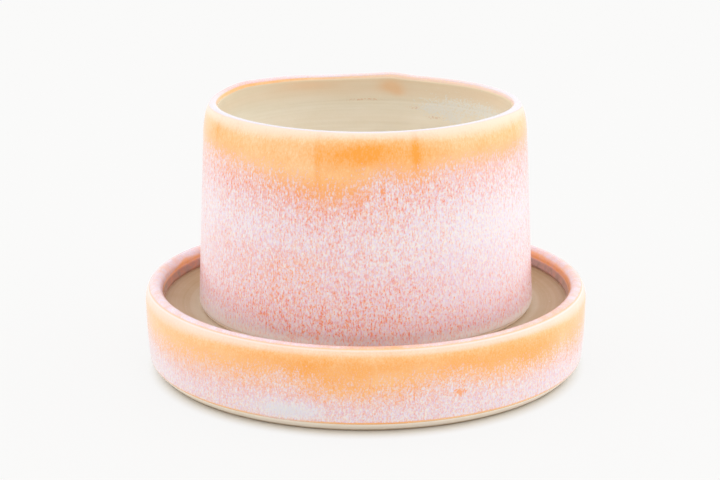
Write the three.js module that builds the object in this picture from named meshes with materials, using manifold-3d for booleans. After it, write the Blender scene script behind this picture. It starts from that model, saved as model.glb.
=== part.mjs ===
// Glazed stoneware plant pot standing loose in its glazed saucer.
// Millimetres, +Z up. The origin is the middle of the ring that the saucer stands on.
// Both pieces are turned on a wheel, so every outline below is a list of points (radius, height)
// that runs outwards under the piece, up its outside, over its lip and down its inside.

import * as THREE from 'three';
import { mergeVertices } from 'three/addons/utils/BufferGeometryUtils.js';
import Module from 'manifold-3d';

const wasm = await Module();
wasm.setup();

// Driving dimensions of the pot, taken on the glaze. The rim's crest is its highest ring; the
// outer and inner rim widths and heights say how far the rounding runs from it on either side
const potHeight = 78.7;
const potCrestRadius = 57.5;
const potRimOuterWidth = 4;
const potRimOuterHeight = 14.4;
const potRimInnerWidth = 2.3;
const potRimInnerHeight = 2.4;
const potWallTaper = 3.1;
const potFootRoundWidth = 1;
const potFootRoundHeight = 3.3;
const potWallThickness = 5.1;
const potFloorThickness = 5.5;
const potInsideFillet = 6;
const potFootRingWidth = 7;
const potRecessDepth = 3;

// Drainage: a hole in the pot's floor and low round notches that let water out under its foot ring
const drainHoleRadius = 6;
const drainNotchCount = 3;
const drainNotchWidth = 10;
const drainNotchHeight = 1.1;
const firstNotchAngle = -90;

// Driving dimensions of the saucer, taken on the glaze. The seat is the flat that the pot stands on
const gutterWidth = 13;
const seatMargin = 2.2;
const saucerSeatHeight = 22.7;
const saucerDepth = 9.15;
const gutterRise = 1.7;
const innerWallFlare = 1;
const saucerRimInnerWidth = 2.9;
const saucerRimInnerHeight = 3.3;
const saucerRimOuterWidth = 3.7;
const saucerRimOuterHeight = 5.85;
const saucerWallLean = 1.1;
const saucerFootBevelWidth = 3.1;
const saucerFootBevelHeight = 3.2;
const saucerFootRingWidth = 8;
const saucerFloorThickness = 8;
const saucerRecessFillet = 3;

// Both glaze coats: how thick they are, and where they stop short of bare clay
const glazeThickness = 0.5;
const notchGlazeGap = 0.2;
const potGlazeInsideRun = 0.8;
const saucerBareFootHeight = 3.65;
const gutterGlazeGap = 0.5;

// Fineness of the model, and small allowances of the modelling
const stepsAround = 60;
const stepsOnRimArc = 4;
const stepsOnFillet = 3;
const stepsOnWall = 3;
const notchSides = 16;
const coatOverlap = 0.3;
const cutClearance = 2;
const recessDraft = 1.5;
const edgeChamfer = 0.8;

// Sizes that follow from the driving ones
const potShoulderRadius = potCrestRadius + potRimOuterWidth;
const potBaseRadius = potShoulderRadius + potWallTaper;
const potFootRadius = potBaseRadius - potFootRoundWidth;
const potShoulderHeight = potHeight - potRimOuterHeight;
const potRimInsideHeight = potHeight - potRimInnerHeight;
const potBareFootHeight = drainNotchHeight + notchGlazeGap;
const hiddenInset = glazeThickness + coatOverlap;
const saucerWallFootRadius = potBaseRadius + gutterWidth;
const saucerRimInnerRadius = saucerWallFootRadius + innerWallFlare;
const saucerCrestRadius = saucerRimInnerRadius + saucerRimInnerWidth;
const saucerOuterRadius = saucerCrestRadius + saucerRimOuterWidth;
const saucerHeight = saucerSeatHeight + saucerDepth;
const saucerWallTop = saucerHeight - saucerRimOuterHeight;
const gutterEdgeHeight = saucerSeatHeight + gutterRise;

function point(radius, height) {
  return new THREE.Vector2(radius, height);
}

// Points on an ellipse between two angles in degrees, 0 pointing away from the axis and 90 up
function arc(centre, halfWidth, halfHeight, fromDegrees, toDegrees, steps) {
  return Array.from({ length: steps + 1 }, (unused, index) => {
    const angle = THREE.MathUtils.degToRad(THREE.MathUtils.lerp(fromDegrees, toDegrees, index / steps));
    return point(centre.x + halfWidth * Math.cos(angle), centre.y + halfHeight * Math.sin(angle));
  });
}

// Drops each point that repeats the one before it, where two stretches of an outline meet
function joined(...stretches) {
  const all = stretches.flat();
  return all.filter((here, index) => index === 0 || here.distanceTo(all[index - 1]) > 0.01);
}

// A three.js geometry as a solid that can be cut: shared vertices merged, flat triangles dropped
function solidOf(geometry) {
  geometry.deleteAttribute('normal');
  geometry.deleteAttribute('uv');
  const merged = mergeVertices(geometry);
  const corners = merged.index.array;
  const triangles = [];
  for (let first = 0; first < corners.length; first += 3) {
    const [a, b, c] = corners.slice(first, first + 3);
    if (a !== b && b !== c && c !== a) triangles.push(a, b, c);
  }
  return new wasm.Manifold(new wasm.Mesh({
    numProp: 3,
    vertProperties: merged.attributes.position.array,
    triVerts: new Uint32Array(triangles),
  }));
}

function turned(outline) {
  const geometry = new THREE.LatheGeometry(outline, stepsAround);
  geometry.rotateX(Math.PI / 2);
  return solidOf(geometry);
}

function namedMesh(name, solid, material) {
  const { vertProperties, triVerts } = solid.getMesh();
  const geometry = new THREE.BufferGeometry();
  geometry.setAttribute('position', new THREE.BufferAttribute(vertProperties, 3));
  geometry.setIndex(new THREE.BufferAttribute(triVerts, 1));
  geometry.computeVertexNormals();
  const mesh = new THREE.Mesh(geometry, material);
  mesh.name = name;
  return mesh;
}

// The pot's outer surface, or a surface lying deeper by the inset: a rounded foot corner, a straight
// taper, and a rim whose outside is a quarter of a tall ellipse and whose inside is of a small one
function potSurface(inset, startHeight) {
  const cornerCentre = point(potFootRadius - inset, potFootRoundHeight);
  const startAngle = THREE.MathUtils.radToDeg(Math.asin(startHeight / potFootRoundHeight - 1));
  const outsideCentre = point(potCrestRadius, potShoulderHeight);
  const outsideWidth = potRimOuterWidth - inset;
  const outsideHeight = potRimOuterHeight - inset;
  const insideCentre = point(potCrestRadius, potRimInsideHeight);
  const insideWidth = potRimInnerWidth - inset;
  const insideHeight = potRimInnerHeight - inset;
  return joined(
    arc(cornerCentre, potFootRoundWidth, potFootRoundHeight, startAngle, 0, stepsOnFillet),
    arc(outsideCentre, outsideWidth, outsideHeight, 0, 90, stepsOnRimArc + 1),
    arc(insideCentre, insideWidth, insideHeight, 90, 180, stepsOnRimArc),
  );
}

// Under the pot: drain hole, recess and foot ring. Inside: bare wall, fillet and floor
function potClayOutline() {
  const ringInnerRadius = potFootRadius - potFootRingWidth;
  const floorTop = potRecessDepth + potFloorThickness;
  const taper = potWallTaper / (potShoulderHeight - potFootRoundHeight);
  const filletTop = floorTop + potInsideFillet;
  const wallFootRadius = potBaseRadius - potWallThickness - taper * (filletTop - potFootRoundHeight);
  const filletCentre = point(wallFootRadius - potInsideFillet, filletTop);
  return joined(
    [
      point(drainHoleRadius, potRecessDepth),
      point(ringInnerRadius - recessDraft, potRecessDepth),
      point(ringInnerRadius, 0),
    ],
    potSurface(glazeThickness, 0),
    [point(potShoulderRadius - potWallThickness, potShoulderHeight)],
    arc(filletCentre, potInsideFillet, potInsideFillet, 0, -90, stepsOnFillet),
    [
      point(drainHoleRadius + edgeChamfer, floorTop),
      point(drainHoleRadius, floorTop - edgeChamfer),
      point(drainHoleRadius, potRecessDepth),
    ],
  );
}

// A glaze coat lies between its outer surface and a hidden one a little inside the clay. The clay
// is cut out of it afterwards, so that the coat sits on the clay face to face
function potCoatOutline() {
  const outer = potSurface(0, potBareFootHeight);
  const hidden = potSurface(hiddenInset, potBareFootHeight);
  const insideEnd = potRimInsideHeight - potGlazeInsideRun;
  const lastRadius = potCrestRadius - potRimInnerWidth;
  return joined(
    outer,
    [point(lastRadius, insideEnd), point(lastRadius + hiddenInset, insideEnd)],
    hidden.reverse(),
    [outer[0]],
  );
}

// A notch is the top of a lying cylinder that crosses the foot ring along a radius
function drainNotches() {
  const halfWidth = drainNotchWidth / 2;
  const radius = (halfWidth ** 2 + drainNotchHeight ** 2) / (2 * drainNotchHeight);
  const length = potFootRingWidth + recessDraft + 2 * cutClearance;
  const middleRadius = potBaseRadius + cutClearance - length / 2;
  const cutters = Array.from({ length: drainNotchCount }, (unused, index) => {
    const geometry = new THREE.CylinderGeometry(radius, radius, length, notchSides);
    geometry.rotateZ(Math.PI / 2);
    geometry.translate(middleRadius, 0, drainNotchHeight - radius);
    geometry.rotateZ(THREE.MathUtils.degToRad(firstNotchAngle + (index * 360) / drainNotchCount));
    return solidOf(geometry);
  });
  return cutters.reduce((all, cutter) => all.add(cutter));
}

// The saucer's outer surface, or one lying deeper by the inset: a slightly bulging wall, a rounded
// lip and a short inner wall that stops at the given height
function saucerSurface(inset, startHeight, endHeight) {
  const wall = new THREE.QuadraticBezierCurve(
    point(saucerOuterRadius - saucerWallLean - inset, startHeight),
    point(saucerOuterRadius - inset, (startHeight + saucerWallTop) / 2),
    point(saucerOuterRadius - inset, saucerWallTop),
  ).getPoints(stepsOnWall);
  const outsideCentre = point(saucerCrestRadius, saucerWallTop);
  const outsideWidth = saucerRimOuterWidth - inset;
  const outsideHeight = saucerRimOuterHeight - inset;
  const insideCentre = point(saucerCrestRadius, saucerHeight - saucerRimInnerHeight);
  const insideWidth = saucerRimInnerWidth - inset;
  const insideHeight = saucerRimInnerHeight - inset;
  return joined(
    wall,
    arc(outsideCentre, outsideWidth, outsideHeight, 0, 90, stepsOnRimArc),
    arc(insideCentre, insideWidth, insideHeight, 90, 180, stepsOnRimArc),
    [point(saucerWallFootRadius + inset, endHeight)],
  );
}

// Underneath: a deep recess inside the foot ring. On top: the gutter, and the flat for the pot
function saucerClayOutline() {
  const bevelRadius = saucerOuterRadius - saucerWallLean - glazeThickness;
  const footRadius = bevelRadius - saucerFootBevelWidth;
  const ringInnerRadius = footRadius - saucerFootRingWidth;
  const ceiling = saucerSeatHeight - saucerFloorThickness;
  const filletRadius = ringInnerRadius - recessDraft - saucerRecessFillet;
  const filletCentre = point(filletRadius, ceiling - saucerRecessFillet);
  return joined(
    [point(0, ceiling)],
    arc(filletCentre, saucerRecessFillet, saucerRecessFillet, 90, 0, stepsOnFillet),
    [
      point(ringInnerRadius, 0),
      point(footRadius, 0),
    ],
    saucerSurface(glazeThickness, saucerFootBevelHeight, gutterEdgeHeight),
    [
      point(potFootRadius + seatMargin, saucerSeatHeight),
      point(0, saucerSeatHeight),
    ],
  );
}

function saucerCoatOutline() {
  const coatEnd = gutterEdgeHeight + gutterGlazeGap;
  const outer = saucerSurface(0, saucerBareFootHeight, coatEnd);
  const hidden = saucerSurface(hiddenInset, saucerBareFootHeight, coatEnd);
  return joined(outer, hidden.reverse(), [outer[0]]);
}

function bareStoneware() {
  return new THREE.MeshStandardMaterial({ color: 0xdccdb0, roughness: 0.85, metalness: 0 });
}

function glossGlaze() {
  return new THREE.MeshStandardMaterial({ color: 0xf3c9b4, roughness: 0.2, metalness: 0 });
}

function saucerMeshes() {
  const clay = turned(saucerClayOutline());
  const coat = turned(saucerCoatOutline()).subtract(clay);
  return [namedMesh('saucer_body', clay, bareStoneware()), namedMesh('saucer_glaze', coat, glossGlaze())];
}

function potMeshes() {
  const clay = turned(potClayOutline()).subtract(drainNotches());
  const coat = turned(potCoatOutline()).subtract(clay);
  return [namedMesh('pot_body', clay, bareStoneware()), namedMesh('pot_glaze', coat, glossGlaze())];
}

const pot = new THREE.Group();
pot.add(...potMeshes());
pot.position.z = saucerSeatHeight;

const plantPot = new THREE.Group();
plantPot.add(...saucerMeshes(), pot);

export default plantPot;
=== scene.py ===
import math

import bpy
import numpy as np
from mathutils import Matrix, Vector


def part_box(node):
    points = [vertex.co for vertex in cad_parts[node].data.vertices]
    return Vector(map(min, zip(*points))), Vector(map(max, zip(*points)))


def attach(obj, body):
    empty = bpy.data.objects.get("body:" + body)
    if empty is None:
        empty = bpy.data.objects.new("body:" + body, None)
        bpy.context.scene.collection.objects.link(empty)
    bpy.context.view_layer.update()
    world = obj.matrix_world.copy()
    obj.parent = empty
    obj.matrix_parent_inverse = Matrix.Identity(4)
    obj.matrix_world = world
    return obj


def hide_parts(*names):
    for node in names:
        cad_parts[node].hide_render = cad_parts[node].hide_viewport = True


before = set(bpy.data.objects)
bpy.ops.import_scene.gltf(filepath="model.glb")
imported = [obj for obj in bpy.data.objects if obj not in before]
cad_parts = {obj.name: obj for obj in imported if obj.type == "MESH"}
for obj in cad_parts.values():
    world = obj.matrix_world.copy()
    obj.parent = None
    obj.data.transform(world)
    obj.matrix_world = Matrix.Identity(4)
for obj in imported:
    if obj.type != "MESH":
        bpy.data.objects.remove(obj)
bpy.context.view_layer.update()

# Glazed stoneware plant pot in its saucer. Metres in Blender, millimetres in every value below.
# Both pieces are turned, so a surface is a radius and a height on a grid: one row for each point
# of the outline, one column for each angle. Angle 0 is the front, positive to the viewer's right.

mm = 0.001
columns = 360
lineWaves = 40  # the finest waves, to the round, in the edge between two of the glaze's bands

print("stage: camera")

cameraSettings = {
    "lens": 85.0,  # on a 36 mm wide sensor
    "distance": 632.2,  # from the pot's axis
    "height": 219.9,  # above the table
    "lookDown": 15.35,  # degrees
    "turnLeft": 0.192,  # degrees: the pot stands a little right of the middle
    "roll": -0.25,  # degrees
}


def makeCamera(settings):
    # out to the distance and up to the height, then turned left, tilted down and rolled
    camera = bpy.data.objects.new("camera", bpy.data.cameras.new("camera"))
    camera.data.lens = settings["lens"]
    camera.data.sensor_width = 36
    camera.data.clip_start = 0.01
    place = Matrix.Translation((0, -settings["distance"] * mm, settings["height"] * mm))
    for degrees, axis in ((settings["turnLeft"], "Z"), (90 - settings["lookDown"], "X"),
                          (settings["roll"], "Z")):
        place = place @ Matrix.Rotation(math.radians(degrees), 4, axis)
    camera.matrix_world = place
    bpy.context.scene.collection.objects.link(camera)
    bpy.context.scene.camera = camera


makeCamera(cameraSettings)

print("stage: outlines")

potShape = {
    "rimOuterWidth": 4.0, "rimOuterHeight": 14.4,
    "rimInnerWidth": 2.3, "rimInnerHeight": 2.4,
    "taper": 3.1,
    "footRoundWidth": 1.0, "footRoundHeight": 3.3,
    "wall": 5.1,
    "floor": 5.5,
    "insideFillet": 6.0,
    "footRing": 7.0,
    "recess": 3.0,
    "recessSlope": 1.5,  # how far the recess's side leans in
    "drainRadius": 6.0, "drainRoundTop": 1.2, "drainRoundBottom": 0.8,
    "notchWidth": 10.0, "notchHeight": 1.1,
    "notchAngles": (0, 120, 240),
    "notchReach": 2.0,  # how far beyond the foot ring its cut looks for points
    "glazeStart": 1.3,
    "glazeInside": 3.1,  # how far over the crest the coat runs,
    "hiddenShort": 0.2,  # and how much less on its hidden side
    "footBead": 0.9,  # the coat thins out over this much at its two ends
    "insideBead": 2.2,
}

saucerShape = {
    "seatMargin": 2.2,
    "gutterRise": 1.7,
    "innerFlare": 1.0,
    "rimInnerWidth": 2.9, "rimInnerHeight": 3.3,
    "rimOuterWidth": 3.7, "rimOuterHeight": 5.85,
    "wallLean": 1.1,
    "bevelWidth": 3.1, "bevelHeight": 3.0,
    "footRing": 8.0,
    "ringSlope": 1.5,  # how far the ring's inner side leans in
    "floor": 8.0,
    "recessFillet": 3.0,
    "glazeStart": 3.3,
    "gutterGlazeGap": 0.5,
    "footBead": 0.9,
    "insideBead": 0.9,
}

glazeThickness = 0.5
glazeSunk = 0.12  # how far the coat's hidden side lies in the clay

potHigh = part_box("pot_glaze")[1]
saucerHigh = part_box("saucer_glaze")[1]
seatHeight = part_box("pot_body")[0].z / mm
potTop = potHigh.z / mm
saucerTop = saucerHigh.z / mm
potBase = potHigh.x / mm
potShoulder = potBase - potShape["taper"]
potCrest = potShoulder - potShape["rimOuterWidth"]
potFoot = potBase - potShape["footRoundWidth"]
saucerOuter = saucerHigh.x / mm
saucerCrest = saucerOuter - saucerShape["rimOuterWidth"]


def ellipseRun(centre, halfWidth, halfHeight, start, end, count):
    # centre + (halfWidth cos t, halfHeight sin t), t running evenly between two angles in degrees
    t = np.radians(np.linspace(start, end, count))
    return np.stack([centre[0] + halfWidth * np.cos(t), centre[1] + halfHeight * np.sin(t)], 1)


def straightRun(start, end, count):
    # start + s (end - start), s running evenly from 0 to 1
    s = np.linspace(0, 1, count)[:, None]
    return np.array(start) + s * (np.array(end) - np.array(start))


def joinRuns(*runs):
    # one run after the other, without the points that repeat the one before them
    points = np.concatenate(runs)
    step = np.linalg.norm(np.diff(points, axis=0), axis=1)
    return points[np.concatenate([[True], step > 1e-4])]


def outwardNormals(outline):
    # the outline's direction by central differences, turned a quarter to the outside
    along = np.gradient(outline, axis=0)
    along /= np.linalg.norm(along, axis=1, keepdims=True) + 1e-9
    return np.stack([along[:, 1], -along[:, 0]], 1)


def lipRun(crest, top, s, inset, outsideCount, insideCount):
    # a tall quarter ellipse up to the crest, and a small one down inside it
    outside = ellipseRun((crest, top - s["rimOuterHeight"]), s["rimOuterWidth"] - inset,
                         s["rimOuterHeight"] - inset, 0, 90, outsideCount)
    inside = ellipseRun((crest, top - s["rimInnerHeight"]), s["rimInnerWidth"] - inset,
                        s["rimInnerHeight"] - inset, 90, 180, insideCount)
    return joinRuns(outside, inside)


def potSkin(inset, startHeight, fine):
    # foot corner, straight wall, lip
    s = potShape
    startAngle = math.degrees(math.asin(startHeight / s["footRoundHeight"] - 1))
    corner = ellipseRun((potFoot - inset, seatHeight + s["footRoundHeight"]),
                        s["footRoundWidth"], s["footRoundHeight"], startAngle, 0, 8 * fine)
    wallTop = (potShoulder - inset, potTop - s["rimOuterHeight"])
    return joinRuns(corner, straightRun(corner[-1], wallTop, 45 * fine),
                    lipRun(potCrest, potTop, s, inset, 18 * fine, 10 * fine))


def saucerSkin(inset, startHeight, endHeight, fine):
    # bulging wall, lip, short inner wall. The bulge is (1-t)^2 a + 2t(1-t) b + t^2 c
    s = saucerShape
    wallTop = saucerTop - s["rimOuterHeight"]
    t = np.linspace(0, 1, 20 * fine)[:, None]
    ends = [np.array((saucerOuter - s["wallLean"] - inset, startHeight)),
            np.array((saucerOuter - inset, (startHeight + wallTop) / 2)),
            np.array((saucerOuter - inset, wallTop))]
    wall = (1 - t) ** 2 * ends[0] + 2 * t * (1 - t) * ends[1] + t ** 2 * ends[2]
    lip = lipRun(saucerCrest, saucerTop, s, inset, 16 * fine, 12 * fine)
    innerFoot = (saucerCrest - s["rimInnerWidth"] - s["innerFlare"] + inset, endHeight)
    return joinRuns(wall, lip, straightRun(lip[-1], innerFoot, 8 * fine))


print("stage: hand-made unevenness")

handWork = {
    # order, size in mm, angle of the high side in degrees: how far each rim stands off level
    "potRim": ((0, -0.1, 0), (1, 0.47, -109), (2, 0.4, 54), (3, 0.25, 72)),
    "saucerRim": ((0, -0.25, 0), (1, 0.3, -120), (2, 0.5, 90)),
    # how far from round, outside a radius of ovalFrom
    "potOval": 0.25,
    "saucerOval": 0.35,
    "ovalFrom": 40.0,
    # low and high places of the pot's far rim, and the little bump on it, which reaches bumpTall
    # down: angle, half width, mm
    "rimPlaces": ((-165, 14, -0.7), (-122, 12, 0.7), (130, 22, 0.4)),
    "bump": ((169.0, 6.5, 0.75),),
    "bumpTall": 6.0,
    # throwing rings inside the pot: height, half height, depth
    "rings": (
        (90.2, 0.45, 0.12), (88.9, 0.4, 0.08), (80.4, 0.6, 0.12), (78.6, 0.4, 0.07),
        (71.5, 1.2, 0.08), (63.0, 1.5, 0.1), (53.5, 1.6, 0.1), (44.0, 1.8, 0.1)),
    # each ring fades to ringFaint and back twice on its way round, from a start of its own
    "ringFaint": 0.3,
    "ringTurn": 40.0,
}


def harmonics(angle, waves):
    # sum of size * cos(order * (angle - high side))
    total = np.zeros_like(angle)
    for order, size, highSide in waves:
        total += size * np.cos(order * np.radians(angle - highSide))
    return total


def angleFrom(angle, centre):
    # the difference between two angles, from -180 to 180 degrees
    return (angle - centre + 180) % 360 - 180


def around(angle, patches):
    # the sum of soft patches of (angle, half width, share), the same at every height
    total = np.zeros_like(angle)
    for centre, width, share in patches:
        total += share * np.exp(-((angleFrom(angle, centre) / width) ** 2))
    return total


def potLift(angle, height):
    # the rim's waves and places, growing with the square of the height over the foot, and the bump
    share = np.clip((height - seatHeight) / (potTop - seatHeight), 0, 1) ** 2
    nearRim = np.clip(1 - (potTop - height) / handWork["bumpTall"], 0, 1)
    uneven = harmonics(angle, handWork["potRim"]) + around(angle, handWork["rimPlaces"])
    return share * uneven + nearRim * around(angle, handWork["bump"])


def saucerLift(angle, height):
    # the rim's waves, growing with the height over the floor
    share = np.clip((height - seatHeight) / (saucerTop - seatHeight), 0, 1)
    return share * harmonics(angle, handWork["saucerRim"])


def turnedGrid(outline, lift, oval):
    # angle, radius and height of every grid point: the outline at every angle, its radius made
    # oval by oval * cos(2 angle) and its height raised by the lift
    angle = np.linspace(-180, 180, columns, endpoint=False) + 0 * outline[:, 0:1]
    wide = outline[:, 0:1] > handWork["ovalFrom"]
    radius = outline[:, 0:1] + oval * np.cos(np.radians(2 * angle)) * wide
    height = outline[:, 1:2] + 0 * angle
    return angle, radius, height + lift(angle, height)


def turnedMesh(name, angle, radius, height, closedOutline):
    # x = r sin(angle), y = -r cos(angle); the columns close on themselves, and the rows either
    # close on themselves too or end in a pole on the axis
    rows = radius.shape[0]
    turn = np.radians(angle)
    points = np.stack([radius * np.sin(turn), -radius * np.cos(turn), height], 2) * mm
    points = points.reshape(-1, 3)
    row = np.arange(rows if closedOutline else rows - 1)[:, None]
    column = np.arange(columns)[None, :]
    nextRow = (row + 1) % rows
    nextColumn = (column + 1) % columns
    corners = [row * columns + column, row * columns + nextColumn,
               nextRow * columns + nextColumn, nextRow * columns + column]
    faces = np.stack(corners, 2).reshape(-1, 4).tolist()
    if not closedOutline:
        ring = np.arange(columns)
        after = (ring + 1) % columns
        last = (rows - 1) * columns
        first = len(points)
        points = np.concatenate([points, [[0, 0, points[0, 2]], [0, 0, points[-1, 2]]]])
        faces += np.stack([ring, np.full(columns, first), after], 1).tolist()
        faces += np.stack([last + ring, last + after, np.full(columns, first + 1)], 1).tolist()
    mesh = bpy.data.meshes.new(name)
    mesh.from_pydata(points.tolist(), [], faces)
    mesh.update()
    mesh.polygons.foreach_set("use_smooth", np.ones(len(faces), bool))
    piece = bpy.data.objects.new(name, mesh)
    bpy.context.scene.collection.objects.link(piece)
    return piece


def paintMask(piece, name, values):
    # one number for each vertex; a pole takes the mean of its ring
    flat = np.asarray(values, np.float32)
    full = flat.reshape(-1)
    if len(piece.data.vertices) > len(full):
        full = np.append(full, [flat[0].mean(), flat[-1].mean()]).astype(np.float32)
    attribute = piece.data.attributes.new(name, "FLOAT", "POINT")
    attribute.data.foreach_set("value", full)


def smoothStep(low, high, value):
    # 3t^2 - 2t^3, where t runs from 0 at low to 1 at high; low may be the greater
    t = np.clip((value - low) / (high - low), 0, 1)
    return t * t * (3 - 2 * t)


def edgeLine(angle, stops):
    # a height at every angle: straight between stops of (angle, height) all the way round, then
    # smoothed: its waves fade by exp(-(n / lineWaves)^2), n to the round
    stops = sorted(stops)
    at = [a for a, h in stops]
    level = [h for a, h in stops]
    line = np.interp(angle[0], [at[-1] - 360] + at + [at[0] + 360],
                     [level[-1]] + level + [level[0]])
    waves = np.fft.fftfreq(columns, 1 / columns)
    smooth = np.fft.ifft(np.fft.fft(line) * np.exp(-(waves / lineWaves) ** 2)).real
    return smooth[None, :] + 0 * angle


def acrossCrest(skin):
    # length along the outline from the crest, in mm: negative outside, positive on the inside
    along = np.concatenate([[0], np.cumsum(np.linalg.norm(np.diff(skin, axis=0), axis=1))])
    return along - along[np.argmax(skin[:, 1])]


def coatOutline(skin, hidden, shape):
    # the glass's outer side one way and its hidden side back: the outer side rounds down into
    # the clay at the foot as a quarter ellipse, and fades out inside the crest as 1 - 3t^2 + 2t^3
    across = acrossCrest(skin)
    fromFoot = np.clip((across - across[0]) / shape["footBead"], 0, 1)
    rounded = 1 - np.sqrt(1 - (1 - fromFoot) ** 2)
    faded = smoothStep(across[-1] - shape["insideBead"], across[-1], across)
    thin = glazeThickness * (rounded + faded)
    outer = skin - outwardNormals(skin) * thin[:, None]
    back = np.interp(np.linspace(0, 1, len(hidden)), [0, 1], [across[-1], across[0]])
    return np.concatenate([outer, hidden[::-1]]), np.concatenate([across, back])


def profileOf(height, stops):
    # a share at every height, straight between stops of (height, share)
    stops = sorted(stops)
    return np.interp(height, [h for h, s in stops], [s for h, s in stops])


def lobes(angle, height, patches):
    # the sum of soft round patches of (angle, height, half width, half height, share)
    total = np.zeros_like(height)
    for centre, level, width, tall, share in patches:
        across = angleFrom(angle, centre) / width
        total += share * np.exp(-(across ** 2) - ((height - level) / tall) ** 2)
    return total


glazeRules = {
    "reflectionVeil": (0.5, 0.1),  # the veil's share where the painted reflections start to show, and show in full
    "honeyLost": 0.9,  # share of the inside's honey that is gone further down
    "outerWall": -5.0,  # further out than this from the crest is the wall outside
    "lineVeil": 1.5,  # the line at the foot has less veil,
    "lineHoney": 2.0,  # and more honey
}


def glazeMasks(angle, height, across, look):
    # shares for the glaze's colours: all from the angle, the height and the way across the lip. A
    # look leaves out the patches and the bands that its piece doesn't have
    rules = glazeRules
    lip = look["lip"]

    def patches(name):
        return lobes(angle, height, look.get(name, ()))

    def lipPatches(name):
        return around(angle, lip.get(name, ()))

    def band(ends, value):
        # 0 at the first of two ends and before it, 1 at the second and after it
        return smoothStep(*ends, value) if ends else 0 * value

    level = height - edgeLine(angle, look["breakLine"])
    veil = profileOf(level, look["veil"]) + patches("clouds")
    white = profileOf(level, look["white"]) + patches("whiteClouds")
    honey = smoothStep(-look["honeyFade"], look["honeyFade"], level - look["honeyLevel"])
    honey = np.clip(honey + patches("amber"), 0, 1)
    deep = profileOf(height, look["deep"]) + patches("deepPatches")
    # over the crest: thin and creamy outside it, the cream partly a painted highlight, veiled on
    # its top, thin and orange inside it, and veiled again below that
    outer = across + lipPatches("widerOutside")
    inner = across - lipPatches("widerInside")
    start, full, end, gone = lip["top"]
    inside = smoothStep(end, gone, inner)
    onTop = smoothStep(start, full, outer) * (1 - inside)
    outside = (1 - onTop) * (1 - inside)
    below = band(lip.get("below"), across)
    start, full, end, gone = lip["cream"]
    cream = lip["creamShare"] * (1 - lipPatches("creamFade")) * smoothStep(gone, end, outer)
    cream = cream * smoothStep(start - lipPatches("creamSpread"), full, outer)
    # painted highlight: a bright line along the cream, as the overhead softbox would show in the
    # gloss
    if "highlightLine" in lip:
        place, width, share = lip["highlightLine"]
        cream = cream + share * np.exp(-(((outer - place) / width) ** 2))
    patch = lipPatches("amber")
    topVeil = lip["topVeil"] + lipPatches("topVeils") - patch
    insideVeil = lip["insideVeil"] + lipPatches("insideVeils")
    belowVeil = lip.get("belowVeil", 0) + lipPatches("belowVeils")
    veil = veil * (1 - onTop) + topVeil * onTop
    veil = veil * (1 - inside) + (insideVeil * (1 - below) + belowVeil * below) * inside
    white = white * outside + lip["topWhite"] * onTop
    honey = honey * (1 - onTop) + np.clip(lip["topHoney"] + patch, 0, 1) * onTop
    insideHoney = lip["insideHoney"] * (1 - rules["honeyLost"] * below)
    honey = honey * (1 - inside) + insideHoney * inside
    insideDeep = lip["insideDeep"] + lipPatches("insidePatches")
    deep = deep * (1 - inside) + insideDeep * inside * (1 - below)
    # painted reflection: the runs deepen the honey, as dark seams in the surroundings would in the
    # gloss
    seamReflections = around(angle, look.get("seamReflections", ())) * honey * outside
    swing = profileOf(height, look["swing"]) * (1 + patches("calm"))
    swing = swing * (1 - lip["insideCalm"] * inside)
    line = band(look.get("footLine"), height) * (across < rules["outerWall"])
    line = line * (1 + around(angle, look.get("footLinePatches", ())))
    return {
        "veil": veil - rules["lineVeil"] * line,
        "swing": swing * (1 - onTop) + lip["topSwing"] * onTop,
        "mottle": lip["mottle"] * np.clip(onTop + inside, 0, 1),
        "fine": look["fine"] + 0 * height,
        "white": white,
        "honey": np.clip(honey + rules["lineHoney"] * line, 0, 1),
        "deep": deep + seamReflections * smoothStep(*rules["reflectionVeil"], veil),
        "fleck": patches("flecks") * outside,
        "cream": cream * outside,
        # partly painted shade: mauve on the pot's low front and on the saucer's lower inner wall
        "mauve": np.clip(patches("mauve"), 0, 1) + lip.get("belowMauve", 0) * below * inside,
        # partly painted light: the foot's pale edge, lighter at the sides
        "foot": band(look.get("footFade"), height)
        * (look.get("footShare", 0) + patches("footPatches")),
        "crest": onTop * (lip["crest"] + lipPatches("crestPatches")) + patches("ice"),
        "bare": band(lip.get("bare"), across) * (1 + lipPatches("barePatches")),
    }


def makeCoat(name, skin, hidden, shape, lift, oval, look):
    # the coat's closed outline turned round the axis, with its masks painted on
    outline, across = coatOutline(skin, hidden, shape)
    angle, radius, height = turnedGrid(outline, lift, oval)
    piece = turnedMesh(name, angle, radius, height, True)
    flat = outline[:, 1:2] + 0 * angle
    for mask, values in glazeMasks(angle, flat, across[:, None] + 0 * angle, look).items():
        paintMask(piece, mask, values)
    return piece


print("stage: pot")

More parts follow.
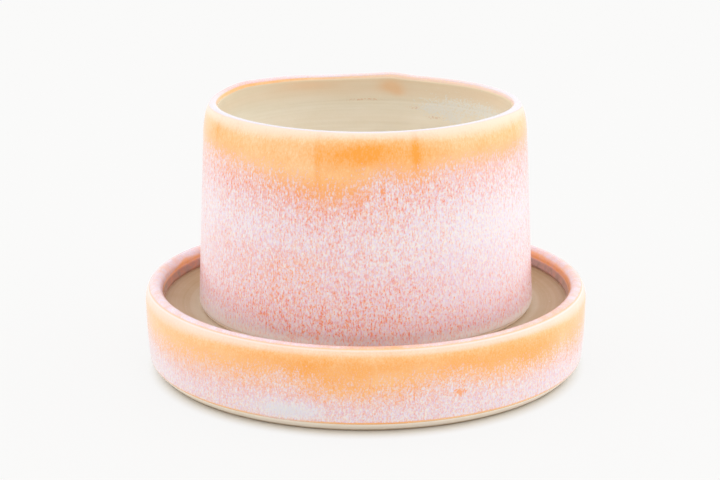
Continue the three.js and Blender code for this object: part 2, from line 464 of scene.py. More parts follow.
potLook = {
    # how far the glaze's bands stand above or below their usual height: angle, mm
    "breakLine": (
        (-75, 1), (-62, 1), (-48, 0), (-38, -1), (-30, -3), (-22, -4), (-16, -5), (-10, -5),
        (-4, -4), (1, -2), (5, 1), (10, 0), (17, -1), (24, 1.5), (35, 2), (50, 2), (62, 2), (80, 3),
        (105, -2), (130, -5), (150, 1), (175, -3), (-150, 2), (-125, -4), (-100, 0)),
    # share of pale veil, and how white it is, by height above the table
    "veil": (
        (102, -0.6), (95, -0.55), (91, -0.25), (88, 0.04), (84, 0.35), (80, 0.52), (76, 0.63),
        (70, 0.78), (62, 0.87), (54, 0.82), (47, 0.74), (40, 0.72), (34, 0.74), (27, 0.86)),
    "white": (
        (102, 0.7), (90, 0.5), (80, 0.55), (70, 0.45), (60, 0.45), (52, 0.3), (42, 0.3), (34, 0.15),
        (26, 0.0)),
    # how much the grain swings round the veil's share, by height, and the fine specks' part in it
    "swing": (
        (102, 0.5), (94, 0.9), (91, 1.5), (87, 1.95), (81, 1.75), (74, 1.55), (60, 1.45),
        (50, 1.45), (36, 2.1), (28, 2.3), (24, 1.4)),
    "fine": 0.35,
    # the height where the honey band ends, and how softly
    "honeyLevel": 84.5,
    "honeyFade": 8.5,
    # how deep the honey's orange is, by height
    "deep": (
        (102, 0.0), (99.6, 0.1), (98.3, 0.3), (96.5, 0.48), (93, 0.52), (88, 0.45), (80, 0.6),
        (60, 0.7), (24, 0.9)),
    # soft patches that change them, calm the swing, clouds the veil, amber the honey and so on:
    # angle, height, half width, half height, share
    "calm": ((52, 62, 26, 20, -0.25), (-64, 62, 18, 20, -0.15), (58, 86, 32, 7, -0.35)),
    "clouds": (
        (-42, 66, 20, 8, 0.16), (35, 66, 25, 18, 0.18), (4, 84, 4, 4, 0.15), (46, 84, 16, 5, 0.08),
        (-54, 86, 22, 6, 0.1), (8, 70, 5, 4, -0.12), (-56, 61, 10, 7, -0.13), (-24, 52, 8, 4, -0.1),
        (-4, 56, 8, 3, -0.11), (-34, 48, 7, 3, 0.08), (30, 37, 12, 5, 0.12), (62, 32, 12, 3, 0.1),
        (68, 40, 8, 6, 0.08), (8, 32, 6, 3, 0.08), (60, 60, 20, 24, 0.12), (-66, 60, 14, 26, 0.12),
        (-30, 52, 14, 6, -0.08), (38, 44, 24, 14, 0.16), (-52, 41, 20, 8, 0.1),
        (-58, 31, 26, 5, 0.12), (-12, 79, 12, 5, -0.15), (44, 37, 28, 7, 0.08),
        (-22, 56, 24, 4, -0.08), (-4, 82, 7, 4, -0.12), (9, 82, 7, 4, 0.18), (62, 83, 18, 4, 0.1),
        (-12, 82, 6, 5, 0.1), (-70, 83, 10, 7, 0.08), (24, 84, 7, 4, 0.12),
        (-58, 28.5, 24, 2.5, 0.22), (110, 64, 25, 10, 0.15), (165, 60, 22, 8, 0.2),
        (-140, 66, 26, 9, 0.15), (-100, 58, 14, 7, 0.15)),
    "whiteClouds": (
        (-48, 68, 18, 8, 0.2), (9, 59, 9, 6, 0.35), (40, 66, 24, 12, 0.4), (64, 56, 20, 24, 0.4),
        (-68, 60, 14, 24, 0.3), (-60, 28, 20, 4, 0.75), (-34, 26, 10, 3, 0.3),
        (120, 66, 20, 9, 0.25), (170, 60, 22, 8, 0.3), (-135, 66, 24, 9, 0.25)),
    "amber": (
        (-38, 51, 18, 6, 0.18), (-20, 53, 7, 7, 0.2), (6, 70, 4, 5, 0.3), (-10, 79, 13, 6, 0.24),
        (140, 48, 22, 8, 0.3), (-160, 46, 18, 8, 0.3)),
    "deepPatches": (
        (0, 94, 13, 5, 0.5), (2, 90, 24, 6, 0.05), (-20, 88, 10, 5, -0.12), (-10, 80, 14, 5, 0.2),
        (-62, 94, 9, 6, 0.12), (18, 95, 9, 5, 0.15), (35, 90, 14, 8, -0.05), (-35, 93, 14, 7, -0.1),
        (130, 92, 22, 8, 0.3), (-140, 92, 26, 8, 0.3), (-45, 98.5, 20, 3, -0.1),
        (45, 98.5, 26, 3.5, -0.18), (-70, 95, 6, 3, -0.15), (70, 95, 6, 3, -0.15),
        (-24, 96, 5, 3, -0.1), (-16, 92, 4, 3, 0.08)),
    "flecks": (
        (-22, 53, 9, 8, 0.36), (-40, 47, 24, 11, 0.3), (-12, 77, 18, 7, 0.38), (5, 70, 5, 8, 0.5),
        (20, 83, 60, 5, 0.4), (0, 36, 75, 15, 0.5), (140, 50, 22, 9, 0.6), (-160, 46, 20, 9, 0.6),
        (95, 40, 18, 9, 0.5), (180, 84, 60, 6, 0.4)),
    # painted shade: a faint mauve band low at the front, where the saucer's lip shades the pot
    "mauve": ((0, 27.5, 60, 2, 0.15), (0, 26.5, 18, 2.5, 0.1)),
    # painted reflections: faint darker vertical runs in the honey band, where dark seams of the
    # surroundings show in the gloss: angle, half width, share
    "seamReflections": ((-61.5, 1.2, 0.15), (-15.5, 0.9, 0.25), (16.8, 1.3, 0.35), (62.6, 1.0, 0.2)),
    # the coat's thin grey edge at the foot, partly painted light: lighter at the sides against the
    # saucer's shade, and less so at the front. The heights it fades between
    "footFade": (29.2, 24.4),
    "footShare": 0.95,
    "footPatches": ((4, 25, 24, 9, -0.8), (-56, 28, 16, 2.5, 0.15), (70, 26, 8, 2, 0.25)),
    # the lip, in mm along the outline from the crest, negative outside. Patches: angle, half
    # width, share or mm
    "lip": {
        # where the cream edge and the pale top start, are full, end and are gone
        "cream": (-3.4, -1.4, -0.8, 0.2),
        "top": (-1.3, -0.5, 0.6, 1.0),
        "creamShare": 0.5,
        "creamSpread": ((-45, 28, 3.6), (46, 32, 3.8)),
        "widerOutside": ((-105, 38, 1.4), (92, 26, 1.6)),
        "widerInside": ((-132, 34, 1.2), (180, 26, 0.8), (132, 30, 0.9), (92, 22, 0.5),
                        (-85, 18, 0.4)),
        "topVeils": ((-118, 30, -0.6), (180, 40, -0.2), (140, 34, -0.25)),
        "topVeil": 1.0, "topWhite": 0.4, "topHoney": 0.25, "topSwing": 0.7,
        "crest": 0.75,
        "crestPatches": ((-120, 32, -0.7), (180, 40, -0.35), (80, 20, -0.2), (140, 34, -0.25)),
        "amber": ((150, 36, 0.2), (-122, 28, -0.2)),
        "mottle": 0.3,
        "insideHoney": 1.0, "insideDeep": 0.25, "insideVeil": 0.15, "insideCalm": 0.6,
        "insidePatches": ((-125, 28, 0.35), (140, 40, -0.1)),
        "insideVeils": ((-125, 30, -0.5), (95, 26, 0.5), (-85, 14, 0.3), (145, 40, 0.3)),
        "bare": (2.1, 3.0),
        "barePatches": ((-128, 26, -0.9),),
    },
}


def makePotGlaze():
    # its outer side is the pot's own outline from the foot up the wall and over the crest by
    # glazeInside, its hidden side the same outline set in by the coat's thickness and a little
    s = potShape
    skin = potSkin(0, s["glazeStart"], 2)
    skin = skin[acrossCrest(skin) < s["glazeInside"]]
    hidden = potSkin(glazeThickness + glazeSunk, s["glazeStart"], 1)
    hidden = hidden[acrossCrest(hidden) < s["glazeInside"] - s["hiddenShort"]]
    return makeCoat("potGlaze", skin, hidden, s, potLift, handWork["potOval"], potLook)


def notchesCut(height, radius, angle, s):
    # under each notch the foot's points are raised to an arch: a circle's cap of the notch's width
    reach = s["notchReach"]
    foot = (height < seatHeight + reach) & (radius > potFoot - s["footRing"] - reach)
    half = s["notchWidth"] / 2
    circle = (half ** 2 + s["notchHeight"] ** 2) / (2 * s["notchHeight"])
    for centre in s["notchAngles"]:
        across = np.radians(angleFrom(angle, centre)) * radius
        arch = np.sqrt(np.clip(circle ** 2 - across ** 2, 0, None)) - circle + s["notchHeight"]
        height = np.where(foot & (np.abs(across) < half), np.maximum(height, seatHeight + arch),
                          height)
    return height


potClayLook = {
    # stray glaze, the kiln's orange blush near the rim, and rows of orange dots
    "mist": (
        (118, 90, 12, 4, 0.6), (137, 91, 20, 4.0, 0.8), (150, 88, 9, 3, 0.7),
        (140, 85, 5, 2.2, 0.9)),
    "blush": (
        (169, 96.5, 5, 2.4, 0.8), (166, 94, 3, 1.6, 0.4), (-155, 97.5, 14, 2.0, 0.45),
        (180, 99.5, 90, 1.6, 0.3), (180, 95.5, 160, 4, 0.36), (120, 97.5, 25, 2, 0.2)),
    "dots": ((-179, 90.8, 12, 0.7, 0.9), (160, 88.2, 5, 0.9, 0.8), (150, 84.8, 6, 0.9, 0.9)),
    # how much darker and greyer than the foot the inside is fired, by height
    "ash": ((100, 0.38), (92, 0.3), (84, 0.2), (30, 0.2)),
    "ashPatches": ((-110, 94, 28, 12, 0.1),),
}


def makePotClay():
    # the closed outline from the drain hole along the recess, round the foot ring, up the wall,
    # over the lip and down to the floor, turned round the axis. A throwing ring is a groove of
    # depth * exp(-((height - level) / half height)^2) * (middle + swing cos(2 angle + its turn))
    s = potShape
    look = potClayLook
    floorTop = seatHeight + s["recess"] + s["floor"]
    shoulder = potTop - s["rimOuterHeight"]
    slope = s["taper"] / (shoulder - seatHeight - s["footRoundHeight"])
    fillet = s["insideFillet"]
    wallFoot = potBase - s["wall"] - slope * (floorTop + fillet - seatHeight - s["footRoundHeight"])
    innerWall = potShoulder - s["wall"]
    ringInner = potFoot - s["footRing"]
    recessTop = seatHeight + s["recess"]
    top, bottom = s["drainRoundTop"], s["drainRoundBottom"]
    drainTop, drainBottom = s["drainRadius"] + top, s["drainRadius"] + bottom
    skin = potSkin(glazeThickness, 0, 1)
    outline = joinRuns(
        straightRun((drainBottom, recessTop), (ringInner - s["recessSlope"], recessTop), 16),
        straightRun((ringInner - s["recessSlope"], recessTop), (ringInner, seatHeight), 5),
        straightRun((ringInner, seatHeight), skin[0], 8),
        skin,
        straightRun(skin[-1], (innerWall, shoulder), 28),
        straightRun((innerWall, shoulder), (wallFoot, floorTop + fillet), 72),
        ellipseRun((wallFoot - fillet, floorTop + fillet), fillet, fillet, 0, -90, 14),
        straightRun((wallFoot - fillet, floorTop), (drainTop, floorTop), 24),
        ellipseRun((drainTop, floorTop - top), top, top, 90, 180, 6),
        ellipseRun((drainBottom, recessTop + bottom), bottom, bottom, 180, 270, 5),
    )
    outline = outline[:-1]  # its last point is the first one
    angle, radius, height = turnedGrid(outline, potLift, handWork["potOval"])
    # the inner wall's points, with 3 mm to spare, from 2 mm over the floor
    inside = (outline[:, 0:1] < innerWall + 3) & (outline[:, 1:2] > floorTop + 2)
    middle, swing = (1 + handWork["ringFaint"]) / 2, (1 - handWork["ringFaint"]) / 2
    for level, tall, depth in handWork["rings"]:
        fade = middle + swing * np.cos(np.radians(2 * angle + handWork["ringTurn"] * level))
        radius = radius + inside * fade * depth * np.exp(-((height - level) / tall) ** 2)
    height = notchesCut(height, radius, angle, s)
    piece = turnedMesh("potClay", angle, radius, height, True)
    flat = outline[:, 1:2] + 0 * angle
    inner = (outline[:, 0:1] < potCrest) * 1.0
    for name in ("mist", "blush", "dots"):
        paintMask(piece, name, inner * np.clip(lobes(angle, flat, look[name]), 0, 1))
    paintMask(piece, "brownAndShade", 0 * radius)
    ash = profileOf(flat, look["ash"]) + lobes(angle, flat, look["ashPatches"])
    paintMask(piece, "ash", inner * ash)
    return piece


print("stage: saucer")

saucerLook = {
    "breakLine": (
        (-75, 1), (-60, 0), (-48, 0), (-40, 0.5), (-30, 1), (-22, 2), (-15, 1.5), (-8, -1),
        (0, -0.5), (8, -0.5), (16, 1), (22, 1.5), (30, -0.5), (40, -1.5), (50, -1.5), (56, 1),
        (64, -0.5), (75, 0), (100, -1), (125, 2), (150, 0), (180, 2), (-150, -1), (-120, 2),
        (-98, 0)),
    "veil": (
        (32, -0.6), (27, -0.4), (24, -0.12), (21, 0.1), (18, 0.31), (15, 0.5), (12, 0.69),
        (9, 0.82), (6, 0.86), (4, 0.84)),
    "white": ((32, 0.9), (16, 0.8), (12, 0.55), (9, 0.5), (6, 0.7), (4, 0.8)),
    "swing": ((32, 0.7), (27, 0.8), (23, 1.2), (17, 1.35), (12, 1.25), (8, 1.2), (4, 1.1)),
    "fine": 0.55,
    "honeyLevel": 14.0,
    "honeyFade": 7.0,
    "deep": (
        (32, 0.4), (30.6, 0.45), (29.8, 0.35), (28.4, 0.5), (26.5, 0.6), (24, 0.66), (20, 0.73),
        (14, 0.82), (8, 0.8), (4, 0.35)),
    "calm": ((-50, 14, 22, 12, -0.2), (-19, 7.5, 9, 3, -0.5)),
    # the bluish patch near the foot
    "ice": ((-19, 7.3, 8, 2.8, 0.5),),
    "clouds": (
        (-19, 8, 8, 3.5, 0.25), (-66, 10, 18, 8, 0.12), (46, 10, 22, 6, 0.16),
        (-20, 20, 5, 4, 0.15), (20, 17, 4, 3, 0.12), (-45, 20, 16, 5, 0.06), (-6, 16, 10, 4, -0.2),
        (42, 16, 12, 4, 0.06), (28, 17, 8, 3, 0.1), (70, 13, 8, 4, -0.16),
        (-16, 12.5, 6, 2.5, -0.08), (-48, 15, 14, 4, -0.04), (100, 9, 20, 5, 0.2),
        (160, 8, 15, 5, 0.25), (-130, 9, 20, 5, 0.2)),
    "whiteClouds": (
        (-19, 7.5, 8, 3, 0.4), (40, 10, 26, 8, 0.1), (-70, 10, 14, 8, 0.3), (72, 10, 14, 8, 0.3)),
    # the first one is the orange spot
    "amber": ((22.5, 13.3, 1.5, 1.3, 0.9), (-40, 8, 14, 3, 0.2), (-4, 14, 12, 4, 0.35)),
    "deepPatches": (
        (-12, 24, 16, 6, 0.1), (44, 23, 12, 4, 0.14), (-60, 24, 20, 7, -0.15),
        (180, 24, 60, 7, 0.1), (-52, 28, 20, 2.5, -0.1), (60, 28, 10, 2.5, -0.15),
        (56, 21, 6, 4, -0.12), (4, 20, 7, 3, -0.15), (20, 22, 6, 3, 0.12), (-14, 22, 7, 3, 0.1),
        (-34, 24, 5, 2.5, -0.12), (-62, 24, 14, 5, -0.1), (62, 25, 10, 4, -0.12), (0, 4, 9, 2, 0.3),
        (-18, 29.5, 7, 2, 0.1), (-12, 26, 6, 2, 0.1)),
    "flecks": (
        (-45, 12, 26, 5, 0.4), (0, 13, 16, 4, 0.4), (22.5, 13.3, 1.6, 1.6, 1.2),
        (35, 15, 28, 4, 0.35), (0, 19, 70, 3, 0.4), (130, 13, 20, 4, 0.5), (-110, 14, 20, 4, 0.5)),
    # the orange line where the coat ends at the foot: the heights it fades in between
    "footLine": (4.5, 3.8),
    "footLinePatches": ((-20, 8, -0.6), (-45, 30, -0.25), (62, 14, -0.5), (-66, 12, -0.3)),
    "lip": {
        # the cream band under the crest is partly the glaze breaking thin and partly a painted
        # highlight
        "cream": (-5.5, -3.3, -2.4, -1.4),
        "top": (-2.3, -1.1, 1.0, 2.8),
        "creamShare": 0.62,
        "creamSpread": ((-58, 22, 2.4), (66, 14, 2.0)),
        # the cream is thinner at the front, with one painted highlight line in it: place, half
        # width, share
        "creamFade": ((-2, 26, 0.45),),
        "highlightLine": (-2.3, 0.42, 0.36),
        "widerOutside": ((-95, 40, 1.0), (100, 40, 0.6)),
        "widerInside": ((0, 40, -1.0), (-100, 34, 3.2), (-112, 6, -1.8), (100, 35, 1.1),
                        (180, 40, 1.0)),
        "topVeils": ((3, 12, -0.4), (-125, 20, -0.1), (56, 14, -0.4), (90, 20, -0.1)),
        "topVeil": 0.82, "topWhite": 0.2, "topHoney": 0.4, "topSwing": 1.3,
        "crest": 0.2,
        "crestPatches": ((0, 20, -0.2),),
        "amber": ((-96, 6, 0.2), (150, 20, 0.3), (98, 12, 0.25), (3, 12, 0.2), (34, 20, 0.2)),
        "mottle": 0.6,
        "insideHoney": 0.8, "insideDeep": 0.7, "insideVeil": 0.15, "insideCalm": -0.2,
        # the inner wall turns mauve-grey between these two places: the glaze's dull colour,
        # darkened further as painted shade
        "below": (4.8, 6.0),
        "belowVeil": 0.1,
        "belowVeils": ((110, 45, 0.5),),
        "belowMauve": 0.75,
    },
}


def makeSaucerGlaze():
    # as for the pot: the saucer's own outline from the bevel up the wall, over the lip and down to
    # the gutter, and the same outline set in
    s = saucerShape
    coatEnd = seatHeight + s["gutterRise"] + s["gutterGlazeGap"]
    skin = saucerSkin(0, s["glazeStart"], coatEnd, 3)
    hidden = saucerSkin(glazeThickness + glazeSunk, s["glazeStart"], coatEnd, 1)
    return makeCoat("saucerGlaze", skin, hidden, s, saucerLift, handWork["saucerOval"], saucerLook)


saucerClayLook = {
    # how brown the well is, and how much more at the back, as painted shade, which starts between
    # two angles
    "brownAndShade": 0.9,
    "backMore": 0.1,
    "back": (80, 115),
    # painted light: how much less brown by the pot, within two radii: everywhere, at the front, and
    # by the sine of twice the angle there
    "nearPot": (69.5, 65.5),
    "potLess": 0.14,
    "frontLess": 0.05,
    "leftLess": 0.1,
    # painted shade: the foot's outer edge is darkened as its contact shadow, fading between two
    # heights
    "edge": 0.8,
    "edgeHeight": (1.1, 0.4),
}


def makeSaucerClay():
    # the open outline from the middle of the underside round the foot ring, up the bevel and the
    # wall, over the lip, down to the gutter and in to the middle, turned round the axis
    s = saucerShape
    look = saucerClayLook
    bevelRadius = saucerOuter - s["wallLean"] - glazeThickness
    foot = bevelRadius - s["bevelWidth"]
    ringInner = foot - s["footRing"]
    ceiling = seatHeight - s["floor"]
    ringTop = ringInner - s["ringSlope"]
    fillet = (ringTop - s["recessFillet"], ceiling - s["recessFillet"])
    middle = 1.0  # the poles close the disc inside this radius
    well = (potFoot + s["seatMargin"], seatHeight)
    skin = saucerSkin(glazeThickness, s["bevelHeight"], seatHeight + s["gutterRise"], 1)
    outline = joinRuns(
        straightRun((middle, ceiling), (fillet[0], ceiling), 40),
        ellipseRun(fillet, s["recessFillet"], s["recessFillet"], 90, 0, 10),
        straightRun((ringTop, fillet[1]), (ringInner, 0), 16),
        straightRun((ringInner, 0), (foot, 0), 8),
        straightRun((foot, 0), skin[0], 8),
        skin,
        straightRun(skin[-1], well, 24),
        straightRun(well, (middle, seatHeight), 60),
    )
    angle, radius, height = turnedGrid(outline, saucerLift, handWork["saucerOval"])
    piece = turnedMesh("saucerClay", angle, radius, height, False)
    for name in ("mist", "blush", "dots", "ash"):
        paintMask(piece, name, 0 * radius)
    # the well's points, and the foot's outer edge, each with 1 mm to spare
    inside = outline[:, 1:2] > seatHeight - 1
    outer = outline[:, 0:1] > foot - 1
    # the well's brown, with painted shade towards the back and painted light by the pot
    back = smoothStep(*look["back"], np.abs(angle))
    less = look["frontLess"] - look["leftLess"] * np.sin(np.radians(2 * angle))
    less = look["potLess"] + less * (1 - back)
    brownAndShade = look["brownAndShade"] + look["backMore"] * back - less * smoothStep(*look["nearPot"], radius)
    # painted shade: a dark band low on the foot's outer edge, for its contact shadow
    edge = look["edge"] * smoothStep(*look["edgeHeight"], outline[:, 1:2])
    paintMask(piece, "brownAndShade", inside * brownAndShade + outer * edge)
    return piece


print("stage: finishes")


def linear(hexText):
    # sRGB hex to linear light, with alpha 1
    value = [int(hexText[i:i + 2], 16) / 255 for i in (1, 3, 5)]
    light = [v / 12.92 if v <= 0.04045 else ((v + 0.055) / 1.055) ** 2.4 for v in value]
    return (*light, 1.0)


def addNode(tree, kind, settings=None, inputs=None, output=0):
    # a shader node with its settings, its inputs set to a value or linked to another node's
    # socket; what comes back is one of its output sockets
    node = tree.nodes.new("ShaderNode" + kind)
    for key, value in (settings or {}).items():
        setattr(node, key, value)
    for key, value in (inputs or {}).items():
        if isinstance(value, bpy.types.NodeSocket):
            tree.links.new(value, node.inputs[key])
        else:
            node.inputs[key].default_value = value
    return node.outputs[output] if node.outputs else None


# settings that many of the nodes share
multiply = {"operation": "MULTIPLY"}
multiplyAdd = {"operation": "MULTIPLY_ADD"}
mixColour = {"data_type": "RGBA"}
mixNumber = {"data_type": "FLOAT"}
softly = {"interpolation_type": "SMOOTHSTEP"}
unclamped = {"clamp": False}


def newMaterial(name):
    # a material with an empty node tree
    material = bpy.data.materials.new(name)
    material.use_nodes = True
    material.node_tree.nodes.clear()
    return material, material.node_tree


def grainPattern(tree, place, width, tall, detail, span):
    # noise with cells of the given width and height in mm; its values from 0.5 - span to
    # 0.5 + span are stretched to run from 0 to 1
    scaled = addNode(tree, "VectorMath", multiply,
                     {0: place, 1: (1 / (width * mm), 1 / (width * mm), 1 / (tall * mm))})
    noise = addNode(tree, "TexNoise", {},
                    {"Vector": scaled, "Scale": 1.0, "Detail": detail, "Roughness": 0.55})
    return addNode(tree, "MapRange", unclamped,
                   {0: noise, 1: 0.5 - span, 2: 0.5 + span, 3: 0.0, 4: 1.0})


glazeFinish = {
    "honeyDeep": "#ffa53a", "honeyPale": "#ffdcae",
    "coralPink": "#f28a7c", "coralOrange": "#f69862",
    "lilac": "#eccfde", "white": "#f1f0f4",
    "tintCool": "#e4d0f3", "tintWarm": "#fdead4",
    "cream": "#ffe6e2",
    "fleck": "#fba56a",
    # the glaze's dull mauve, darkened as painted shade where it is used
    "mauve": "#a48c84",
    "foot": "#f0eae8",
    "crest": "#dde0e6",
    "bare": "#f3dfc4",
    # patterns: width and height of a cell in mm, octaves of detail, span
    "dash": (0.58, 1.5, 1.0, 0.2),  # a rivulet of crystals
    "streak": (1.6, 6.0, 0.0, 0.25),
    "whiteDash": (0.6, 1.5, 1.0, 0.2),
    "speck": (0.45, 0.55, 0.0, 0.25),
    "fleckGrain": (0.85, 1.1, 1.0, 0.25),
    "tint": (0.55, 0.8, 0.0, 0.25),
    "patch": (11.0, 7.0, 2.0, 0.25),
    "blotch": (5.0, 4.0, 2.0, 0.25),
    "peel": (2.5, 2.5, 1.0, 0.25),
    "streakShare": 0.15,
    "fineShare": 0.67,  # the fine grain's part in the mottling of the honey band
    "tintShare": 0.42,
    "whiteSwing": 1.3,
    "deepSwing": 0.75,
    "footSwing": (0.5, 1.5),  # the foot's and the mauve's shares are times this, by the grain
    "fleckWeight": 0.75,  # a fleck shows where weight * mask + grain passes two values
    "fleckEdge": (1.1, 1.35),
    "fleckShare": 0.8,
    "rough": (0.0, 0.7, 0.1, 0.26),  # two shares of veil, and how rough the glass is at each
    "peelShare": 0.25,
    "peelDepth": 0.05,  # mm
    "refraction": 1.5,
}


def rutileGlaze(look):
    # rutile glaze on stoneware, dipped and fired: a glossy glass, honey orange where it runs thin
    # over an edge, with pale crystal rivulets about half a millimetre wide that run down the wall
    # and crowd into clouds. The rivulets are drawn a little coarser than the real ones
    material, tree = newMaterial("rutileGlaze")
    place = addNode(tree, "TexCoord", output="Object")
    share = {name: addNode(tree, "Attribute", {"attribute_name": name}, output="Fac")
             for name in ("veil", "swing", "mottle", "fine", "white", "honey", "deep", "fleck",
                          "cream", "mauve", "foot", "crest", "bare")}
    grain = {name: grainPattern(tree, place, *look[name])
             for name in ("dash", "streak", "whiteDash", "speck", "fleckGrain", "tint", "patch",
                          "blotch", "peel")}
    texture = grain["dash"]
    for part, name in ((share["fine"], "speck"), (look["streakShare"], "streak"),
                       (share["mottle"], "blotch")):
        texture = addNode(tree, "Mix", mixNumber, {0: part, 2: texture, 3: grain[name]})
    # the honey band is mottled both in patches and finely
    mottled = addNode(tree, "Mix", mixNumber, {0: look["fineShare"], 2: grain["patch"], 3: texture})
    # each share swings round its mask by amount * (pattern - 0.5)
    for name, pattern, amount in (("veil", texture, share["swing"]),
                                  ("white", grain["whiteDash"], look["whiteSwing"]),
                                  ("deep", mottled, look["deepSwing"])):
        centred = addNode(tree, "Math", {"operation": "SUBTRACT"}, {0: pattern, 1: 0.5})
        share[name] = addNode(tree, "Math", multiplyAdd, {0: centred, 1: amount, 2: share[name]})
    fleck = addNode(tree, "Math", multiplyAdd,
                    {0: share["fleck"], 1: look["fleckWeight"], 2: grain["fleckGrain"]})
    share["fleck"] = addNode(tree, "MapRange", softly,
                             dict(enumerate((fleck, *look["fleckEdge"], 0.0, look["fleckShare"]))))
    grained = addNode(tree, "MapRange", unclamped,
                      dict(enumerate((texture, 0.0, 1.0, *look["footSwing"]))))
    for name in ("foot", "mauve"):
        share[name] = addNode(tree, "Math", multiply, {0: share[name], 1: grained})
    # every crystal has a tint of its own, from cool lilac to warm cream; the ground shows it too
    honey, pale, tinted, colour = (
        addNode(tree, "Mix", mixColour, {0: part, 6: linear(look[low]), 7: linear(look[high])}, 2)
        for part, low, high in ((share["deep"], "honeyPale", "honeyDeep"),
                                (share["white"], "lilac", "white"),
                                (grain["tint"], "tintCool", "tintWarm"),
                                (grain["tint"], "coralPink", "coralOrange")))
    pale = addNode(tree, "Mix", mixColour, {0: look["tintShare"], 6: pale, 7: tinted}, 2)
    # the layers from the ground up
    layers = {"honey": honey, "veil": pale}
    for name in ("fleck", "cream", "mauve", "foot", "crest", "bare"):
        layers[name] = linear(look[name])
    for name, layer in layers.items():
        colour = addNode(tree, "Mix", mixColour, {0: share[name], 6: colour, 7: layer}, 2)
    roughness = addNode(tree, "MapRange", {}, dict(enumerate((share["veil"], *look["rough"]))))
    bump = addNode(tree, "Bump", {},
                   {"Strength": look["peelShare"], "Distance": look["peelDepth"] * mm,
                    "Height": grain["peel"]})
    shader = addNode(tree, "BsdfPrincipled", {},
                     {"Base Color": colour, "Roughness": roughness, "IOR": look["refraction"],
                      "Normal": bump})
    addNode(tree, "OutputMaterial", {}, {"Surface": shader})
    return material


clayFinish = {
    "clay": "#fff7ed",
    "clayDark": "#f7ebda",
    "mist": "#e6e6e2",
    "blush": "#e8b682",
    "dots": "#d79a64",
    # the well's brown, also used as painted shade
    "brownAndShade": "#b2946e",
    "ash": "#a0a67e",
    # patterns, as for the glaze
    "broad": (16.0, 7.0, 4.0, 0.35),
    "fine": (0.9, 0.7, 1.0, 0.22),
    "lines": (1.1, 1.1, 2.0, 0.25),
    "lineDrift": 0.03,  # how fast a turning line changes on its way round
    "lineShare": 0.4,  # the lines' part in the clay's shade,
    "lineRelief": 0.5,  # and in its relief
    # a speck shows where weight * grain + mask passes two values: weight, the two, share
    "mistSpecks": (1.0, 0.95, 1.4, 0.8),
    "dotsSpecks": (0.8, 1.0, 1.5, 0.5),
    "blushShare": 0.7,
    "firedShare": 1.05,  # of the well's brown and painted shade, and of the ash, less where the clay is lighter
    "firedSwing": -0.22,
    "roughness": 0.75,
    "reliefShare": 0.3,
    "reliefDepth": 0.08,  # mm
    "refraction": 1.45,
}


def bareStoneware(look):
    # buff stoneware, thrown, turned and fired without glaze: matt, warm and faintly speckled, with
    # fine turning lines, and by the rim a blush from the kiln and a mist of stray glaze
    material, tree = newMaterial("bareStoneware")
    place = addNode(tree, "TexCoord", output="Object")
    share = {name: addNode(tree, "Attribute", {"attribute_name": name}, output="Fac")
             for name in ("mist", "blush", "dots", "brownAndShade", "ash")}
    broad = grainPattern(tree, place, *look["broad"])
    fine = grainPattern(tree, place, *look["fine"])
    # turning lines: the noise runs with the distance from the axis and the height, and changes
    # only slowly on its way round
    parts = addNode(tree, "SeparateXYZ", {}, {0: place}).node.outputs
    flat = addNode(tree, "VectorMath", multiply, {0: place, 1: (1, 1, 0)})
    fromAxis = addNode(tree, "VectorMath", {"operation": "LENGTH"}, {0: flat}, "Value")
    slow = addNode(tree, "Math", multiply, {0: parts["X"], 1: look["lineDrift"]})
    turned = addNode(tree, "CombineXYZ", {}, {0: slow, 1: fromAxis, 2: parts["Z"]})
    lines = grainPattern(tree, turned, *look["lines"])
    share["clay"] = addNode(tree, "Mix", mixNumber, {0: look["lineShare"], 2: broad, 3: lines})
    uneven = addNode(tree, "Math", multiplyAdd,
                     {0: share["clay"], 1: look["firedSwing"], 2: look["firedShare"]})
    for name, factor in (("brownAndShade", uneven), ("ash", uneven), ("blush", look["blushShare"])):
        share[name] = addNode(tree, "Math", multiply, {0: share[name], 1: factor})
    # a mask and the fine grain together decide where a speck of stray glaze sits
    for name in ("mist", "dots"):
        weight, low, high, most = look[name + "Specks"]
        both = addNode(tree, "Math", multiplyAdd, {0: fine, 1: weight, 2: share[name]})
        share[name] = addNode(tree, "MapRange", softly, {0: both, 1: low, 2: high, 3: 0.0, 4: most})
    colour = linear(look["clayDark"])
    for layer in ("clay", "brownAndShade", "ash", "blush", "mist", "dots"):
        colour = addNode(tree, "Mix", mixColour,
                         {0: share[layer], 6: colour, 7: linear(look[layer])}, 2)
    relief = addNode(tree, "Mix", mixNumber, {0: look["lineRelief"], 2: fine, 3: lines})
    bump = addNode(tree, "Bump", {},
                   {"Strength": look["reliefShare"], "Distance": look["reliefDepth"] * mm,
                    "Height": relief})
    shader = addNode(tree, "BsdfPrincipled", {},
                     {"Base Color": colour, "Roughness": look["roughness"],
                      "IOR": look["refraction"], "Normal": bump})
    addNode(tree, "OutputMaterial", {}, {"Surface": shader})
    return material


pieces = {
    "saucer_body": (makeSaucerClay(), "saucer", "bare_stoneware"),
    "saucer_glaze": (makeSaucerGlaze(), "saucer", "rutile_glaze"),
    "pot_body": (makePotClay(), "pot", "bare_stoneware"),
    "pot_glaze": (makePotGlaze(), "pot", "rutile_glaze"),
}
finishes = {"bare_stoneware": bareStoneware(clayFinish), "rutile_glaze": rutileGlaze(glazeFinish)}
for node, (piece, body, slot) in pieces.items():
    piece.data.materials.append(finishes[slot])
    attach(piece, body)
    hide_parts(node)

print("stage: light")

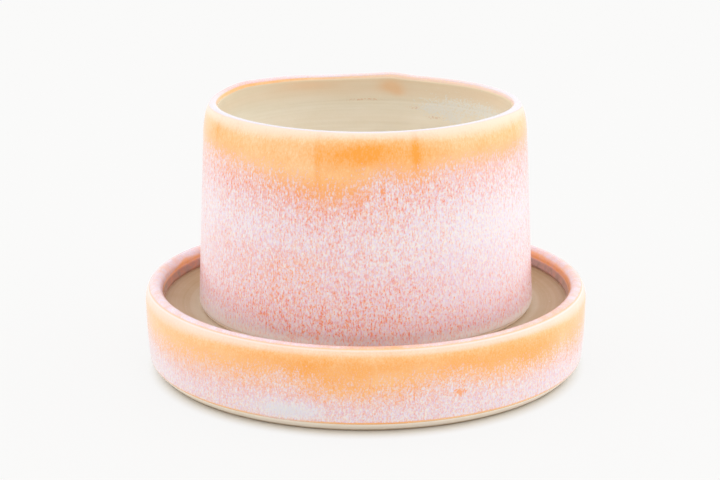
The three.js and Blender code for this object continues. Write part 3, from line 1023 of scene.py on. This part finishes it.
lightTent = {
    "walls": 0.9,  # a strength of 1 is white
    "sideMore": 0.5,  # lamps stand left and right of the tent
    "rightMore": 0.1,
    # two heights of the direction looked at, and the strength, or how much more of it, at each:
    # the open front behind the camera, from table height up; the tent to halfway up; overhead
    "opening": (0.05, 0.5, 0.12, 0.58),
    "middle": (0.1, 0.5, 0.15, 0.42),
    "top": (0.6, 1.0, 0.0, -0.15),
    "openingEdge": (-0.9, -0.8),
    "backdrop": "#fafafa",
    "table": "#e0ddd6",
    "tableHalf": 4.0,  # metres
    "tableGlow": 0.9,  # share of the table that is seen as backdrop
    "shadowForward": 5.0,  # mm: the shadow by the foot lies a little to the front
    "glowStart": 77.5,  # mm from its middle: inside this the table is all cloth
    "glowFull": 85.0,
    "lampRadiance": 1.2,
    "lampSize": 0.45,
    "lampHeight": 1.1,
}


def makeTent(look):
    # a white tent round the object: its walls light it from all sides, its front is open and
    # dimmer. Strength = (opening or walls + sideMore x^2 + rightMore x) (1 + middle) (1 + top),
    # where x runs to the right, y to the back and z up in the direction looked at. The opening
    # ends between two values of y, taken level
    world = bpy.data.worlds.new("lightTent")
    bpy.context.scene.world = world
    world.use_nodes = True
    tree = world.node_tree
    tree.nodes.clear()
    way = addNode(tree, "TexCoord", output="Generated")
    parts = addNode(tree, "SeparateXYZ", {}, {0: way}).node.outputs
    level = addNode(tree, "VectorMath", multiply, {0: way, 1: (1, 1, 0)})
    level = addNode(tree, "VectorMath", {"operation": "NORMALIZE"}, {0: level})
    forward = addNode(tree, "SeparateXYZ", {}, {0: level}, "Y")
    front, middle, top = (
        addNode(tree, "MapRange", softly, dict(enumerate((parts["Z"], *look[name]))))
        for name in ("opening", "middle", "top"))
    strength = addNode(tree, "MapRange", softly,
                       dict(enumerate((forward, *look["openingEdge"], front, look["walls"]))))
    squared = addNode(tree, "Math", multiply, {0: parts["X"], 1: parts["X"]})
    for amount, factor in ((squared, look["sideMore"]), (parts["X"], look["rightMore"])):
        strength = addNode(tree, "Math", multiplyAdd, {0: amount, 1: factor, 2: strength})
    for more in (middle, top):
        strength = addNode(tree, "Math", multiplyAdd, {0: strength, 1: more, 2: strength})
    lit = addNode(tree, "Background", {}, {"Color": (1, 1, 1, 1), "Strength": strength})
    backdrop = addNode(tree, "Background", {}, {"Color": linear(look["backdrop"]), "Strength": 1.0})
    both = addNode(tree, "MixShader", {}, {0: seenRays(tree), 1: lit, 2: backdrop})
    addNode(tree, "OutputWorld", {}, {"Surface": both})


def seenRays(tree):
    # 1 for the rays that show the backdrop: straight from the camera, in a gloss or through glass
    seen = addNode(tree, "LightPath", output="Is Camera Ray")
    path = seen.node.outputs
    for ray in ("Is Glossy Ray", "Is Transmission Ray"):
        seen = addNode(tree, "Math", {"operation": "MAXIMUM"}, {0: seen, 1: path[ray]})
    return seen


def makeTable(look):
    # a square of white cloth. To the rays that show the backdrop it glows like it, except close to
    # the object, where it is seen with its shadow
    half = look["tableHalf"]
    mesh = bpy.data.meshes.new("table")
    mesh.from_pydata([(-half, -half, 0), (half, -half, 0), (half, half, 0), (-half, half, 0)], [],
                     [(0, 1, 2, 3)])
    table = bpy.data.objects.new("table", mesh)
    bpy.context.scene.collection.objects.link(table)
    material, tree = newMaterial("whiteTable")
    place = addNode(tree, "TexCoord", output="Object")
    away = addNode(tree, "VectorMath", {"operation": "DISTANCE"},
                   {0: place, 1: (0, -look["shadowForward"] * mm, 0)}, "Value")
    clear = addNode(tree, "MapRange", softly,
                    {0: away, 1: look["glowStart"] * mm, 2: look["glowFull"] * mm,
                     3: 0.0, 4: look["tableGlow"]})
    share = addNode(tree, "Math", multiply, {0: seenRays(tree), 1: clear})
    cloth = addNode(tree, "BsdfDiffuse", {}, {"Color": linear(look["table"])})
    glow = addNode(tree, "Emission", {}, {"Color": linear(look["backdrop"]), "Strength": 1.0})
    both = addNode(tree, "MixShader", {}, {0: share, 1: cloth, 2: glow})
    addNode(tree, "OutputMaterial", {}, {"Surface": both})
    mesh.materials.append(material)


def makeOverhead(look):
    # watts for the wanted radiance of a square lamp: pi * area * radiance
    lamp = bpy.data.lights.new("overheadSoftbox", "AREA")
    lamp.shape = "SQUARE"
    lamp.size = look["lampSize"]
    lamp.energy = math.pi * look["lampSize"] ** 2 * look["lampRadiance"]
    holder = bpy.data.objects.new("overheadSoftbox", lamp)
    holder.location = (0, 0, look["lampHeight"])
    bpy.context.scene.collection.objects.link(holder)


makeTent(lightTent)
makeTable(lightTent)
makeOverhead(lightTent)

bpy.context.scene.view_settings.view_transform = "Standard"

print("stage: finish")
